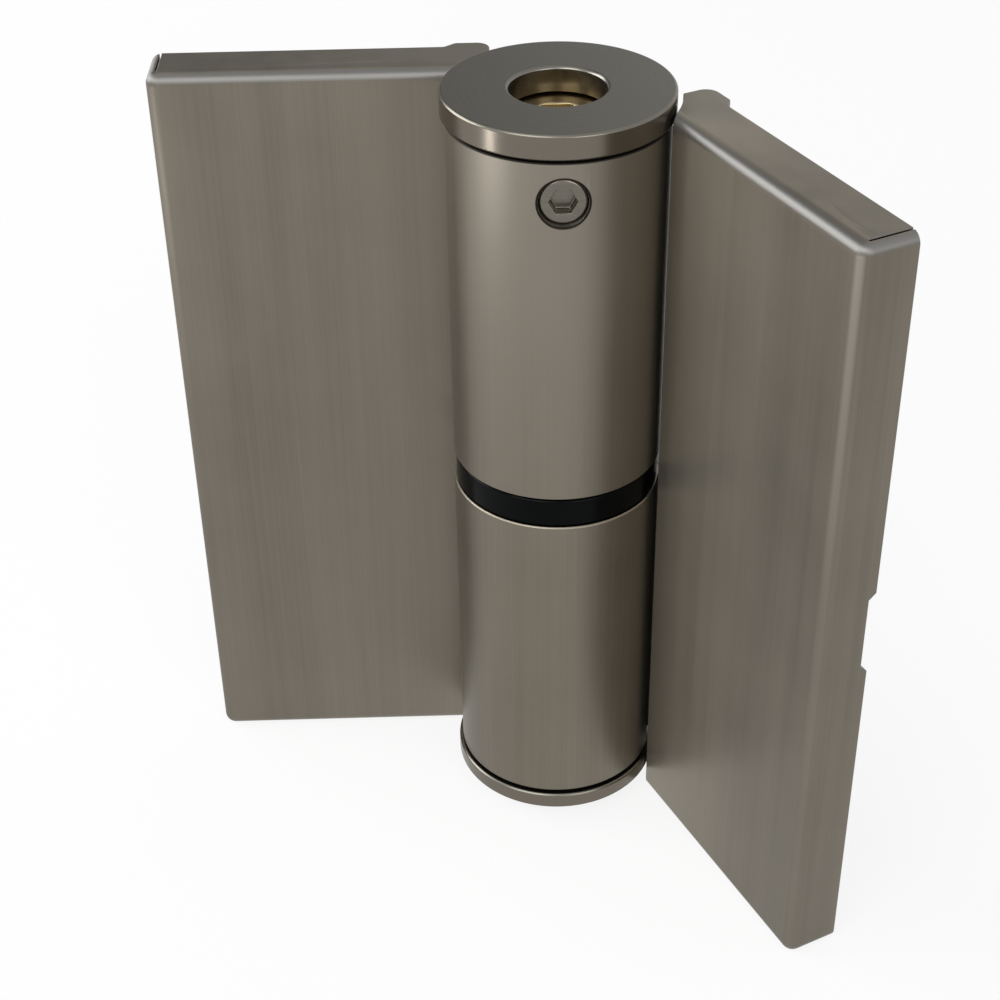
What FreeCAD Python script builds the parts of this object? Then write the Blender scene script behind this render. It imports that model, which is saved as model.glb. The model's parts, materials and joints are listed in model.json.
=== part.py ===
import FreeCAD, Part
import os
import re
import Sketcher

# Self-closing spring hinge with two sheet covers.
# Frame: Z is the barrel axis, z = 0 is the underside of the covers, the frame leaf lies along -X
# with its mounting face towards +Y, and the door leaf stands open by door_open_angle.

doc = FreeCAD.newDocument("SpringHinge")
sheet = doc.addObject("Spreadsheet::Sheet", "Sizes")

SIZES = [
    ("tube_diameter", 28.0),
    ("tube_wall", 3.0),
    ("lower_tube_length", 47.3),
    ("upper_tube_length", 47.8),
    ("tube_edge", 0.2),
    ("stand_gap", 3.0),
    ("bottom_cap_height", 2.9),
    ("top_cap_height", 3.6),
    ("cap_overhang", 0.5),
    ("cap_seam", 0.35),
    ("cap_seam_depth", 0.9),
    ("cap_edge", 0.25),
    ("cap_bore", 12.0),
    ("cap_bore_chamfer", 0.3),
    ("cap_web", 3.3),
    ("cap_counterbore", 15.0),
    ("cap_spigot", 1.1),
    ("bottom_spigot", 3.0),
    ("ring_height", 4.1),
    ("ring_inset", 0.3),
    ("ring_wall", 3.6),
    ("running_gap", 0.3),
    ("bearing_clearance", 0.05),
    ("shaft_diameter", 12.0),
    ("hub_length", 20.0),
    ("hub_pin_diameter", 4.0),
    ("bush_length", 8.0),
    ("collar_length", 6.0),
    ("collar_clearance", 0.6),
    ("collar_pin_diameter", 3.0),
    ("adjuster_length", 12.0),
    ("adjuster_groove_depth", 1.5),
    ("adjuster_hex", 6.0),
    ("adjuster_hex_depth", 4.0),
    ("adjuster_edge", 0.3),
    ("spring_wire", 2.2),
    ("coil_gap", 0.6),
    ("tang_length", 3.0),
    ("lock_screw_diameter", 6.0),
    ("lock_screw_drop", 8.9),
    ("lock_screw_recess", 0.6),
    ("lock_screw_dog", 4.0),
    ("lock_screw_hex", 3.0),
    ("lock_screw_hex_depth", 1.6),
    ("lock_hole_chamfer", 0.3),
    ("bottom_screw_diameter", 5.0),
    ("bottom_screw_head", 9.6),
    ("bottom_screw_thread", 8.0),
    ("bottom_screw_hex", 3.0),
    ("leaf_behind_tube", 2.3),
    ("leaf_thickness", 3.0),
    ("leaf_inner", 7.0),
    ("leaf_root", 1.0),
    ("leaf_hole", 5.8),
    ("leaf_countersink", 10.0),
    ("hole_spacing_across", 19.0),
    ("hole_spacing_up", 74.0),
    ("hole_centre_out", 31.5),
    ("weld_leg", 3.4),
    ("clip_thickness", 0.7),
    ("clip_length", 22.0),
    ("clip_width", 12.0),
    ("clip_spacing", 32.0),
    ("rivet_diameter", 2.5),
    ("rivet_head", 4.6),
    ("rivet_head_height", 0.9),
    ("cover_height", 107.8),
    ("cover_depth", 7.45),
    ("cover_outer", 50.6),
    ("cover_sheet", 1.2),
    ("cover_bend", 1.6),
    ("cover_barrel_gap", 1.4),
    ("cover_leaf_gap", 0.3),
    ("cover_side_gap", 0.8),
    ("ear_tip", 7.3),
    ("ear_width", 4.4),
    ("ear_reach", 1.2),
    ("ear_slope", 1.4),
    ("ear_radius", 1.7),
    ("seam_width", 0.25),
    ("notch_length", 12.1),
    ("notch_depth", 1.0),
    ("notch_slope", 0.8),
    ("frame_cover_play", 0.7),
    ("door_cover_play", 0.5),
    ("door_open_angle", 64.4),
]

for row, (name, number) in enumerate(SIZES, start=1):
    sheet.set("A%d" % row, name)
    sheet.set("B%d" % row, str(number))
    sheet.setAlias("B%d" % row, name)
doc.recompute()

# Levels and radii that follow from the driving sizes.
DERIVED = {
    "tube_radius": "tube_diameter / 2",
    "tube_inside": "tube_diameter / 2 - tube_wall",
    "shaft_radius": "shaft_diameter / 2",
    "cap_radius": "tube_radius + cap_overhang",
    "seam_radius": "tube_radius - cap_seam_depth",
    "z_lower_tube": "stand_gap + bottom_cap_height",
    "z_ring": "z_lower_tube + lower_tube_length",
    "z_ring_top": "z_ring + ring_height",
    "z_upper_tube": "z_ring_top + running_gap",
    "z_top_cap": "z_upper_tube + upper_tube_length",
    "z_top": "z_top_cap + top_cap_height",
    "z_shaft": "z_lower_tube + bottom_spigot",
    "z_bush_top": "z_upper_tube + bush_length",
    "z_collar": "z_bush_top + running_gap",
    "z_collar_top": "z_collar + collar_length",
    "z_bore": "z_top - cap_web",
    "z_boss": "z_bore - running_gap",
    "boss_radius": "cap_counterbore / 2 - running_gap",
    "z_adjuster_top": "z_top_cap - cap_spigot - running_gap",
    "z_adjuster": "z_adjuster_top - adjuster_length",
    "z_shaft_top": "z_adjuster - 1",
    "z_lock": "z_top - lock_screw_drop",
    "adjuster_radius": "tube_inside - bearing_clearance",
    "groove_radius": "adjuster_radius - adjuster_groove_depth",
    "collar_wall": "tube_inside - collar_clearance - shaft_radius",
    "spring_radius": "(tube_inside + shaft_radius) / 2",
    "spring_base": "z_collar_top + spring_wire / 2 + 0.4",
    "spring_height": "z_adjuster - 0.4 - spring_wire / 2 - spring_base",
    "spring_turns": "floor(spring_height / (spring_wire + coil_gap))",
    "leaf_setback": "tube_radius + leaf_behind_tube",
    "cover_front": "leaf_setback - cover_depth",
    "cover_round": "tube_radius + cover_barrel_gap",
    "leaf_front": "leaf_setback - leaf_thickness",
    "saddle_half": "sqrt(tube_radius * tube_radius - leaf_front * leaf_front)",
    "leaf_low": "cover_sheet + cover_leaf_gap",
    "leaf_high": "cover_height - cover_sheet - cover_leaf_gap",
    "leaf_outer": "cover_outer - cover_sheet - cover_side_gap",
    "mid": "cover_height / 2",
    "clip_front": "cover_front + cover_sheet + 0.4",
}
ALIASES = {name for name, number in SIZES}
WORD = re.compile(r"[a-z][a-z_]*")


def expand(text):
    """Write an expression over sheet cells from plain size names."""

    def swap(match):
        word = match.group(0)
        if word in DERIVED:
            return "(" + expand(DERIVED[word]) + ")"
        if word in ALIASES:
            return "Sizes." + word
        return word

    return WORD.sub(swap, text)


def number(text):
    """Present value of an expression in millimetres or degrees."""
    value = sheet.evalExpression(expand(text))
    return float(getattr(value, "Value", value))


def bind(thing, path, text):
    thing.setExpression(path, expand(text))


def make_body(name):
    body = doc.addObject("PartDesign::Body", name)
    body.Label = name
    return body


def plane(body, role):
    for item in body.Origin.OriginFeatures:
        if item.Role == role:
            return item
    raise RuntimeError("no plane " + role)


def outline(body, name, role, points, offset=None):
    """Closed sketch of straight lines, every corner placed by two expressions."""
    sketch = body.newObject("Sketcher::SketchObject", name)
    sketch.AttachmentSupport = (plane(body, role), [""])
    sketch.MapMode = "FlatFace"
    if offset is not None:
        bind(sketch, "AttachmentOffset.Base.z", offset)
    places = [FreeCAD.Vector(number(x), number(y), 0) for x, y in points]
    count = len(points)
    for i in range(count):
        sketch.addGeometry(Part.LineSegment(places[i], places[(i + 1) % count]), False)
    for i in range(count):
        sketch.addConstraint(Sketcher.Constraint("Coincident", i, 2, (i + 1) % count, 1))
    for i, (x, y) in enumerate(points):
        for kind, text, axis in (("DistanceX", x, -2), ("DistanceY", y, -1)):
            if text == "0":
                sketch.addConstraint(Sketcher.Constraint("PointOnObject", i, 1, axis))
            else:
                k = sketch.addConstraint(Sketcher.Constraint(kind, -1, 1, i, 1, number(text)))
                bind(sketch, "Constraints[%d]" % k, text)
    return sketch


def turned(name, points):
    """Solid of revolution about Z from a radius and height outline."""
    body = make_body(name)
    sketch = outline(body, name + "_outline", "XZ_Plane", points)
    feature = body.newObject("PartDesign::Revolution", name + "_turned")
    feature.Profile = sketch
    feature.ReferenceAxis = (sketch, ["V_Axis"])
    feature.Angle = 360
    sketch.Visibility = False
    doc.recompute()
    return body


def plate(name, role, points, offset, length, reverse=False):
    """Straight pad of an outline."""
    body = make_body(name)
    sketch = outline(body, name + "_outline", role, points, offset)
    feature = body.newObject("PartDesign::Pad", name + "_pad")
    feature.Profile = sketch
    bind(feature, "Length", length)
    feature.Reversed = reverse
    sketch.Visibility = False
    doc.recompute()
    return body


TURN = {
    "+Z": FreeCAD.Rotation(),
    "+Y": FreeCAD.Rotation(FreeCAD.Vector(1, 0, 0), -90),
    "-Y": FreeCAD.Rotation(FreeCAD.Vector(1, 0, 0), 90),
    "+X": FreeCAD.Rotation(FreeCAD.Vector(0, 1, 0), 90),
}


def cut(body, kind, name, place, way, **sizes):
    """Subtract a primitive and make sure that it took material away."""
    doc.recompute()
    before = body.Shape.Volume
    tool = body.newObject("PartDesign::Subtractive" + kind, name)
    tool.Placement = FreeCAD.Placement(FreeCAD.Vector(), TURN[way])
    for letter, text in zip("xyz", place):
        bind(tool, "Placement.Base." + letter, text)
    for key, text in sizes.items():
        if key == "Polygon":
            tool.Polygon = text
        else:
            bind(tool, key, text)
    doc.recompute()
    if body.Shape.Volume >= before - 1e-6:
        raise RuntimeError(name + " removed nothing")
    return tool


def drill(body, name, place, way, radius, depth):
    return cut(body, "Cylinder", name, place, way, Radius=radius, Height=depth)


def socket(body, name, place, way, across, depth):
    """Hexagon socket from its width across flats."""
    return cut(
        body, "Prism", name, place, way,
        Polygon=6, Circumradius="(%s) / sqrt(3)" % across, Height=depth,
    )


def edges_where(body, test):
    return ["Edge%d" % (i + 1) for i, edge in enumerate(body.Shape.Edges) if test(edge)]


def round_edges(body, name, test, radius):
    doc.recompute()
    names = edges_where(body, test)
    if not names:
        raise RuntimeError(name + " found no edge")
    base = body.Tip
    feature = body.newObject("PartDesign::Fillet", name)
    feature.Base = (base, names)
    bind(feature, "Radius", radius)
    body.Tip = feature
    doc.recompute()
    return feature


def lies_on(edge, axis, value, tolerance=1e-4):
    low = getattr(edge.BoundBox, axis + "Min")
    high = getattr(edge.BoundBox, axis + "Max")
    return abs(low - value) < tolerance and abs(high - value) < tolerance


# Upper half of the barrel, fixed to the frame leaf.
upper_tube = turned("upper_tube", [
    ("tube_inside", "z_upper_tube"),
    ("tube_radius - tube_edge", "z_upper_tube"),
    ("tube_radius", "z_upper_tube + tube_edge"),
    ("tube_radius", "z_top_cap - tube_edge"),
    ("tube_radius - tube_edge", "z_top_cap"),
    ("tube_inside", "z_top_cap"),
])
drill(upper_tube, "lock_hole", ("0", "0", "z_lock"), "-Y",
      "lock_screw_diameter / 2 + bearing_clearance", "tube_radius + 1")
cut(upper_tube, "Cone", "lock_hole_mouth", ("0", "-(tube_radius - lock_hole_chamfer)", "z_lock"), "-Y",
    Radius1="lock_screw_diameter / 2 + bearing_clearance",
    Radius2="lock_screw_diameter / 2 + bearing_clearance + 2 * lock_hole_chamfer",
    Height="2 * lock_hole_chamfer")

top_cap = turned("top_cap", [
    ("cap_bore / 2", "z_bore"),
    ("cap_counterbore / 2", "z_bore"),
    ("cap_counterbore / 2", "z_top_cap - cap_spigot"),
    ("tube_inside - 0.1", "z_top_cap - cap_spigot"),
    ("tube_inside - 0.1", "z_top_cap"),
    ("seam_radius", "z_top_cap"),
    ("seam_radius", "z_top_cap + cap_seam"),
    ("cap_radius - cap_edge", "z_top_cap + cap_seam"),
    ("cap_radius", "z_top_cap + cap_seam + cap_edge"),
    ("cap_radius", "z_top - cap_edge"),
    ("cap_radius - cap_edge", "z_top"),
    ("cap_bore / 2 + cap_bore_chamfer", "z_top"),
    ("cap_bore / 2", "z_top - cap_bore_chamfer"),
])

upper_bush = turned("upper_bush", [
    ("shaft_radius + bearing_clearance", "z_upper_tube"),
    ("tube_inside", "z_upper_tube"),
    ("tube_inside", "z_bush_top"),
    ("shaft_radius + bearing_clearance", "z_bush_top"),
])

# Brass plug that winds the spring, held by the lock screw in its ring groove.
spring_adjuster = turned("spring_adjuster", [
    ("0", "z_adjuster"),
    ("adjuster_radius", "z_adjuster"),
    ("adjuster_radius", "z_lock - lock_screw_dog / 2 - 0.4"),
    ("groove_radius", "z_lock - lock_screw_dog / 2 - 0.4"),
    ("groove_radius", "z_lock + lock_screw_dog / 2 + 0.4"),
    ("adjuster_radius", "z_lock + lock_screw_dog / 2 + 0.4"),
    ("adjuster_radius", "z_adjuster_top"),
    ("boss_radius", "z_adjuster_top"),
    ("boss_radius", "z_boss - adjuster_edge"),
    ("boss_radius - adjuster_edge", "z_boss"),
    ("0", "z_boss"),
])
socket(spring_adjuster, "key_socket", ("0", "0", "z_boss - adjuster_hex_depth"), "+Z",
       "adjuster_hex", "adjuster_hex_depth + 1")
drill(spring_adjuster, "upper_tang_hole", ("spring_radius", "0", "z_adjuster - 1"), "+Z",
      "spring_wire / 2 + 0.3", "tang_length + 2")

lock_screw = turned("lock_screw", [
    ("0", "-(tube_radius - lock_screw_recess)"),
    ("lock_screw_diameter / 2 - 0.3", "-(tube_radius - lock_screw_recess)"),
    ("lock_screw_diameter / 2", "-(tube_radius - lock_screw_recess - 0.3)"),
    ("lock_screw_diameter / 2", "-(tube_inside + 0.35)"),
    ("lock_screw_dog / 2", "-(tube_inside + 0.35)"),
    ("lock_screw_dog / 2", "-(groove_radius + 0.8)"),
    ("lock_screw_dog / 2 - 0.4", "-(groove_radius + 0.4)"),
    ("0", "-(groove_radius + 0.4)"),
])
socket(lock_screw, "lock_socket", ("0", "0", "-(tube_radius - lock_screw_recess) - 1"), "+Z",
       "lock_screw_hex", "lock_screw_hex_depth + 1")

# Lower half of the barrel, fixed to the door leaf.
lower_tube = turned("lower_tube", [
    ("tube_inside", "z_lower_tube"),
    ("tube_radius - tube_edge", "z_lower_tube"),
    ("tube_radius", "z_lower_tube + tube_edge"),
    ("tube_radius", "z_ring - tube_edge"),
    ("tube_radius - tube_edge", "z_ring"),
    ("tube_inside", "z_ring"),
])

bottom_cap = turned("bottom_cap", [
    ("bottom_screw_head / 2", "stand_gap"),
    ("cap_radius - cap_edge", "stand_gap"),
    ("cap_radius", "stand_gap + cap_edge"),
    ("cap_radius", "z_lower_tube - cap_seam - cap_edge"),
    ("cap_radius - cap_edge", "z_lower_tube - cap_seam"),
    ("seam_radius", "z_lower_tube - cap_seam"),
    ("seam_radius", "z_lower_tube"),
    ("tube_inside - 0.1", "z_lower_tube"),
    ("tube_inside - 0.1", "z_shaft"),
    ("bottom_screw_diameter / 2", "z_shaft"),
    ("bottom_screw_diameter / 2", "stand_gap + (bottom_screw_head - bottom_screw_diameter) / 2"),
])

bottom_screw = turned("bottom_screw", [
    ("0", "stand_gap"),
    ("bottom_screw_head / 2", "stand_gap"),
    ("bottom_screw_diameter / 2", "stand_gap + (bottom_screw_head - bottom_screw_diameter) / 2"),
    ("bottom_screw_diameter / 2", "z_shaft + bottom_screw_thread"),
    ("0", "z_shaft + bottom_screw_thread"),
])
socket(bottom_screw, "bottom_socket", ("0", "0", "stand_gap - 1"), "+Z", "bottom_screw_hex", "3")

pivot_shaft = turned("pivot_shaft", [
    ("bottom_screw_diameter / 2", "z_shaft"),
    ("shaft_radius", "z_shaft"),
    ("shaft_radius", "z_shaft_top - 0.5"),
    ("shaft_radius - 0.5", "z_shaft_top"),
    ("0", "z_shaft_top"),
    ("0", "z_shaft + bottom_screw_thread + 1"),
    ("bottom_screw_diameter / 2", "z_shaft + bottom_screw_thread + 1"),
])
drill(pivot_shaft, "shaft_hub_pin_hole", ("-shaft_radius - 1", "0", "z_ring - hub_length / 2"), "+X",
      "hub_pin_diameter / 2", "shaft_diameter + 2")
drill(pivot_shaft, "shaft_collar_pin_hole", ("0", "-shaft_radius - 1", "z_collar + collar_length / 2"), "+Y",
      "collar_pin_diameter / 2", "shaft_diameter + 2")

lower_hub = turned("lower_hub", [
    ("shaft_radius", "z_ring - hub_length"),
    ("tube_inside", "z_ring - hub_length"),
    ("tube_inside", "z_ring"),
    ("shaft_radius", "z_ring"),
])
drill(lower_hub, "hub_pin_hole", ("-tube_inside - 1", "0", "z_ring - hub_length / 2"), "+X",
      "hub_pin_diameter / 2", "2 * tube_inside + 2")

bearing_ring = turned("bearing_ring", [
    ("tube_radius - ring_inset - ring_wall", "z_ring"),
    ("tube_radius - ring_inset - 0.25", "z_ring"),
    ("tube_radius - ring_inset", "z_ring + 0.25"),
    ("tube_radius - ring_inset", "z_ring_top - 0.25"),
    ("tube_radius - ring_inset - 0.25", "z_ring_top"),
    ("tube_radius - ring_inset - ring_wall", "z_ring_top"),
])

thrust_washer = turned("thrust_washer", [
    ("shaft_radius", "z_ring"),
    ("tube_radius - ring_inset - ring_wall", "z_ring"),
    ("tube_radius - ring_inset - ring_wall", "z_ring_top"),
    ("shaft_radius", "z_ring_top"),
])

spring_collar = turned("spring_collar", [
    ("shaft_radius", "z_collar"),
    ("shaft_radius + collar_wall", "z_collar"),
    ("shaft_radius + collar_wall", "z_collar_top"),
    ("shaft_radius", "z_collar_top"),
])
drill(spring_collar, "collar_pin_hole",
      ("0", "-shaft_radius - collar_wall - 1", "z_collar + collar_length / 2"), "+Y",
      "collar_pin_diameter / 2", "shaft_diameter + 2 * collar_wall + 2")
drill(spring_collar, "lower_tang_hole", ("spring_radius", "0", "z_collar_top - tang_length - 0.6"), "+Z",
      "spring_wire / 2 + 0.3", "tang_length + 2")


def pin(name, place, way, radius, length):
    """Plain cross pin."""
    item = doc.addObject("Part::Cylinder", name)
    item.Label = name
    item.Placement = FreeCAD.Placement(FreeCAD.Vector(), TURN[way])
    for letter, text in zip("xyz", place):
        bind(item, "Placement.Base." + letter, text)
    bind(item, "Radius", radius)
    bind(item, "Height", length)
    return item


hub_pin = pin("hub_pin", ("-tube_inside + 0.3", "0", "z_ring - hub_length / 2"), "+X",
              "hub_pin_diameter / 2", "2 * tube_inside - 0.6")
collar_pin = pin("collar_pin",
                 ("0", "-shaft_radius - collar_wall + 0.2", "z_collar + collar_length / 2"), "+Y",
                 "collar_pin_diameter / 2", "shaft_diameter + 2 * collar_wall - 0.4")

# Torsion spring with one tang down into the collar and one up into the adjuster.
coil_path = doc.addObject("Part::Helix", "coil_path")
bind(coil_path, "Pitch", "spring_height / spring_turns")
bind(coil_path, "Height", "spring_height")
bind(coil_path, "Radius", "spring_radius")
coil_wire = doc.addObject("Part::Circle", "coil_wire")
bind(coil_wire, "Radius", "spring_wire / 2")
coil_wire.Placement = FreeCAD.Placement(FreeCAD.Vector(), FreeCAD.Rotation(FreeCAD.Vector(1, 0, 0), 90))
bind(coil_wire, "Placement.Base.x", "spring_radius")
coil = doc.addObject("Part::Sweep", "coil")
coil.Sections = [coil_wire]
coil.Spine = (coil_path, ["Edge1"])
coil.Solid = True
coil.Frenet = True
tangs = []
for name, level, sign in (("tang_low", "-tang_length", 1), ("tang_high", "spring_height", 1)):
    tangs.append(pin(name, ("spring_radius", "0", level), "+Z", "spring_wire / 2", "tang_length"))
for name, level in (("bend_low", "0"), ("bend_high", "spring_height")):
    ball = doc.addObject("Part::Sphere", name)
    bind(ball, "Radius", "spring_wire / 2")
    bind(ball, "Placement.Base.x", "spring_radius")
    bind(ball, "Placement.Base.z", level)
    tangs.append(ball)
torsion_spring = doc.addObject("Part::MultiFuse", "torsion_spring")
torsion_spring.Label = "torsion_spring"
torsion_spring.Shapes = [coil] + tangs
bind(torsion_spring, "Placement.Base.z", "spring_base")
doc.recompute()


def make_leaf(name, low, high):
    """Mounting plate with a root tab that saddles its own tube between low and high."""
    body = plate(name, "XZ_Plane", [
        ("leaf_inner", "leaf_low"),
        ("leaf_outer", "leaf_low"),
        ("leaf_outer", "leaf_high"),
        ("leaf_inner", "leaf_high"),
        ("leaf_inner", high),
        ("-leaf_root", high),
        ("-leaf_root", low),
        ("leaf_inner", low),
    ], "-leaf_setback", "leaf_thickness")
    drill(body, name + "_saddle", ("0", "0", low + " - 1"), "+Z",
          "tube_radius", "(%s) - (%s) + 2" % (high, low))
    for i, across in enumerate(("-1", "1")):
        for j, up in enumerate(("-1", "1")):
            x = "hole_centre_out + (%s) * hole_spacing_across / 2" % across
            z = "mid + (%s) * hole_spacing_up / 2" % up
            tag = "%s_hole_%d%d" % (name, i, j)
            drill(body, tag, (x, "leaf_front - 1", z), "+Y", "leaf_hole / 2", "leaf_thickness + 2")
            cut(body, "Cone", tag + "_sink", (x, "leaf_front", z), "+Y",
                Radius1="leaf_countersink / 2", Radius2="leaf_hole / 2",
                Height="(leaf_countersink - leaf_hole) / 2")
    for i, z in enumerate(rivet_levels()):
        drill(body, "%s_rivet_hole_%d" % (name, i), ("hole_centre_out", "leaf_front - 1", z), "+Y",
              "rivet_diameter / 2", "leaf_thickness + 2")
    return body


def rivet_levels():
    foot = "(clip_length / 2 - rivet_head / 2 - 0.1)"
    return [
        "mid + clip_spacing / 2 * (%d) + (%d) * %s" % (way, end, foot) for way in (-1, 1) for end in (-1, 1)
    ]


def make_weld(name, low, high):
    """Bead in the corner between tube and leaf."""
    body = plate(name, "XY_Plane", [
        ("saddle_half - 1", "leaf_front"),
        ("saddle_half + weld_leg", "leaf_front"),
        ("saddle_half + weld_leg * 0.6", "leaf_front - weld_leg * 0.5"),
        ("saddle_half - 1", "leaf_front - weld_leg * 0.5"),
    ], low, "(%s) - (%s)" % (high, low))
    drill(body, name + "_tube_side", ("0", "0", low + " - 1"), "+Z",
          "tube_radius", "(%s) - (%s) + 2" % (high, low))
    return body


def make_clip(name, way):
    """Bowed strip, its two feet flat on the leaf."""
    centre = "mid + (%d) * clip_spacing / 2" % way
    half = "clip_length / 2"
    shape = [
        ("leaf_front", "-%s" % half),
        ("leaf_front", "-(%s - rivet_head - 0.5)" % half),
        ("clip_front + clip_thickness", "-3.2"),
        ("clip_front + clip_thickness", "3.2"),
        ("leaf_front", "(%s - rivet_head - 0.5)" % half),
        ("leaf_front", half),
        ("leaf_front - clip_thickness", half),
        ("leaf_front - clip_thickness", "(%s - rivet_head - 0.2)" % half),
        ("clip_front", "3.5"),
        ("clip_front", "-3.5"),
        ("leaf_front - clip_thickness", "-(%s - rivet_head - 0.2)" % half),
        ("leaf_front - clip_thickness", "-%s" % half),
    ]
    points = [(y, "%s + (%s)" % (centre, z)) for y, z in shape]
    body = plate(name, "YZ_Plane", points, "hole_centre_out - clip_width / 2", "clip_width")
    for end in (0, 1):
        level = rivet_levels()[(0 if way < 0 else 2) + end]
        drill(body, "%s_hole_%d" % (name, end), ("hole_centre_out", "leaf_front - 2", level), "+Y",
              "rivet_diameter / 2", "3")
    return body


def make_rivets(name):
    """Four domed rivets of the two clips as one group."""
    pieces = []
    for i, z in enumerate(rivet_levels()):
        shank = pin("%s_shank_%d" % (name, i),
                    ("hole_centre_out", "leaf_front - clip_thickness - 0.5", z), "+Y",
                    "rivet_diameter / 2", "leaf_thickness + clip_thickness + 0.2")
        head = doc.addObject("Part::Cone", "%s_head_%d" % (name, i))
        head.Placement = FreeCAD.Placement(FreeCAD.Vector(), TURN["-Y"])
        for letter, text in zip("xyz", ("hole_centre_out", "leaf_front - clip_thickness", z)):
            bind(head, "Placement.Base." + letter, text)
        bind(head, "Radius1", "rivet_head / 2")
        bind(head, "Radius2", "rivet_head / 2 - 0.7")
        bind(head, "Height", "rivet_head_height")
        joined = doc.addObject("Part::Fuse", "%s_piece_%d" % (name, i))
        joined.Base = head
        joined.Tool = shank
        pieces.append(joined)
    group = doc.addObject("Part::Compound", name)
    group.Label = name
    group.Links = pieces
    return group


def make_cover(name):
    """Folded tray: front, top, bottom and outer side, with an ear beside the barrel at top and bottom."""
    body = plate(name, "XY_Plane", [
        ("cover_outer", "leaf_setback"),
        ("cover_outer", "cover_front"),
        ("ear_tip", "cover_front"),
        ("ear_tip", "leaf_setback + ear_reach"),
        ("ear_tip + ear_width", "leaf_setback + ear_reach"),
        ("ear_tip + ear_width + ear_slope", "leaf_setback"),
    ], None, "cover_height")
    tip = number("ear_tip")
    back = number("leaf_setback")
    reach = number("leaf_setback + ear_reach")
    front = number("cover_front")
    outer = number("cover_outer")
    top = number("cover_height")
    round_edges(body, name + "_ear", lambda e: lies_on(e, "X", tip) and lies_on(e, "Y", reach), "ear_radius")
    step = number("ear_tip + ear_width")
    foot = number("ear_tip + ear_width + ear_slope")
    round_edges(body, name + "_ear_step", lambda e: (lies_on(e, "X", step) and lies_on(e, "Y", reach))
                or (lies_on(e, "X", foot) and lies_on(e, "Y", back)), "ear_radius / 2")

    def on_two_faces(edge):
        level = lies_on(edge, "Z", 0) or lies_on(edge, "Z", top)
        return lies_on(edge, "Y", front) + lies_on(edge, "X", outer) + level == 2

    round_edges(body, name + "_bends", on_two_faces, "cover_bend")
    drill(body, name + "_barrel_cut", ("0", "0", "-1"), "+Z", "cover_round", "cover_height + 2")
    cut(body, "Box", name + "_inside", ("-1", "cover_front + cover_sheet", "cover_sheet"), "+Z",
        Length="cover_outer - cover_sheet + 1", Width="cover_depth + ear_reach + 1",
        Height="cover_height - 2 * cover_sheet")
    for tag, level in (("low", "-0.5"), ("high", "cover_height - cover_sheet - 0.1")):
        cut(body, "Box", name + "_seam_" + tag,
            ("cover_outer - cover_sheet - seam_width", "cover_front + cover_bend", level), "+Z",
            Length="seam_width", Width="cover_depth", Height="cover_sheet + 0.6")
    sketch = outline(body, name + "_notch_outline", "YZ_Plane", [
        ("leaf_setback - notch_depth", "mid - notch_length / 2 + notch_slope"),
        ("leaf_setback + 0.2", "mid - notch_length / 2 - notch_slope * 0.2"),
        ("leaf_setback + 0.2", "mid + notch_length / 2 + notch_slope * 0.2"),
        ("leaf_setback - notch_depth", "mid + notch_length / 2 - notch_slope"),
    ], "cover_outer + 1")
    before = body.Shape.Volume
    notch = body.newObject("PartDesign::Pocket", name + "_notch")
    notch.Profile = sketch
    bind(notch, "Length", "cover_sheet + 2")
    sketch.Visibility = False
    doc.recompute()
    if body.Shape.Volume >= before - 1e-6:
        raise RuntimeError(name + " notch removed nothing")
    return body


door_root = ("z_lower_tube + 0.5", "z_ring - 0.5")
frame_root = ("cover_height - z_top_cap + 0.5", "cover_height - z_upper_tube - 0.5")
sides = {}
for side, root in (("frame", frame_root), ("door", door_root)):
    sides[side] = [
        make_leaf(side + "_leaf", *root),
        make_weld(side + "_weld", *root),
        make_clip(side + "_clip_upper", 1 if side == "door" else -1),
        make_clip(side + "_clip_lower", -1 if side == "door" else 1),
        make_rivets(side + "_rivets"),
        make_cover(side + "_cover"),
    ]
doc.recompute()

# The frame side is the same set turned end for end about Y; the door side swings about Z.
for item in sides["frame"]:
    item.Placement = FreeCAD.Placement(FreeCAD.Vector(), FreeCAD.Rotation(FreeCAD.Vector(0, 1, 0), 180))
    bind(item, "Placement.Base.z", "cover_height")
for item in sides["door"]:
    turn = FreeCAD.Rotation(FreeCAD.Vector(0, 0, 1), -number("door_open_angle"))
    item.Placement = FreeCAD.Placement(FreeCAD.Vector(), turn)
    bind(item, "Placement.Rotation.Angle", "-door_open_angle")

# Each cover sits on its clips with some play along its leaf.
frame_cover = sides["frame"][-1]
door_cover = sides["door"][-1]
bind(frame_cover, "Placement.Base.x", "-frame_cover_play")
bind(door_cover, "Placement.Base.x", "-door_cover_play * cos(door_open_angle)")
bind(door_cover, "Placement.Base.y", "door_cover_play * sin(door_open_angle)")

# The lock screw is turned on its own axis and laid along -Y at its level.
lock_screw.Placement = FreeCAD.Placement(FreeCAD.Vector(), FreeCAD.Rotation(FreeCAD.Vector(1, 0, 0), -90))
bind(lock_screw, "Placement.Base.z", "z_lock")
doc.recompute()

NODES = [
    upper_tube, top_cap, upper_bush, spring_adjuster, lock_screw, lower_tube, bottom_cap, bottom_screw,
    pivot_shaft, lower_hub, hub_pin, bearing_ring, thrust_washer, spring_collar, collar_pin, torsion_spring,
] + sides["frame"] + sides["door"]

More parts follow.
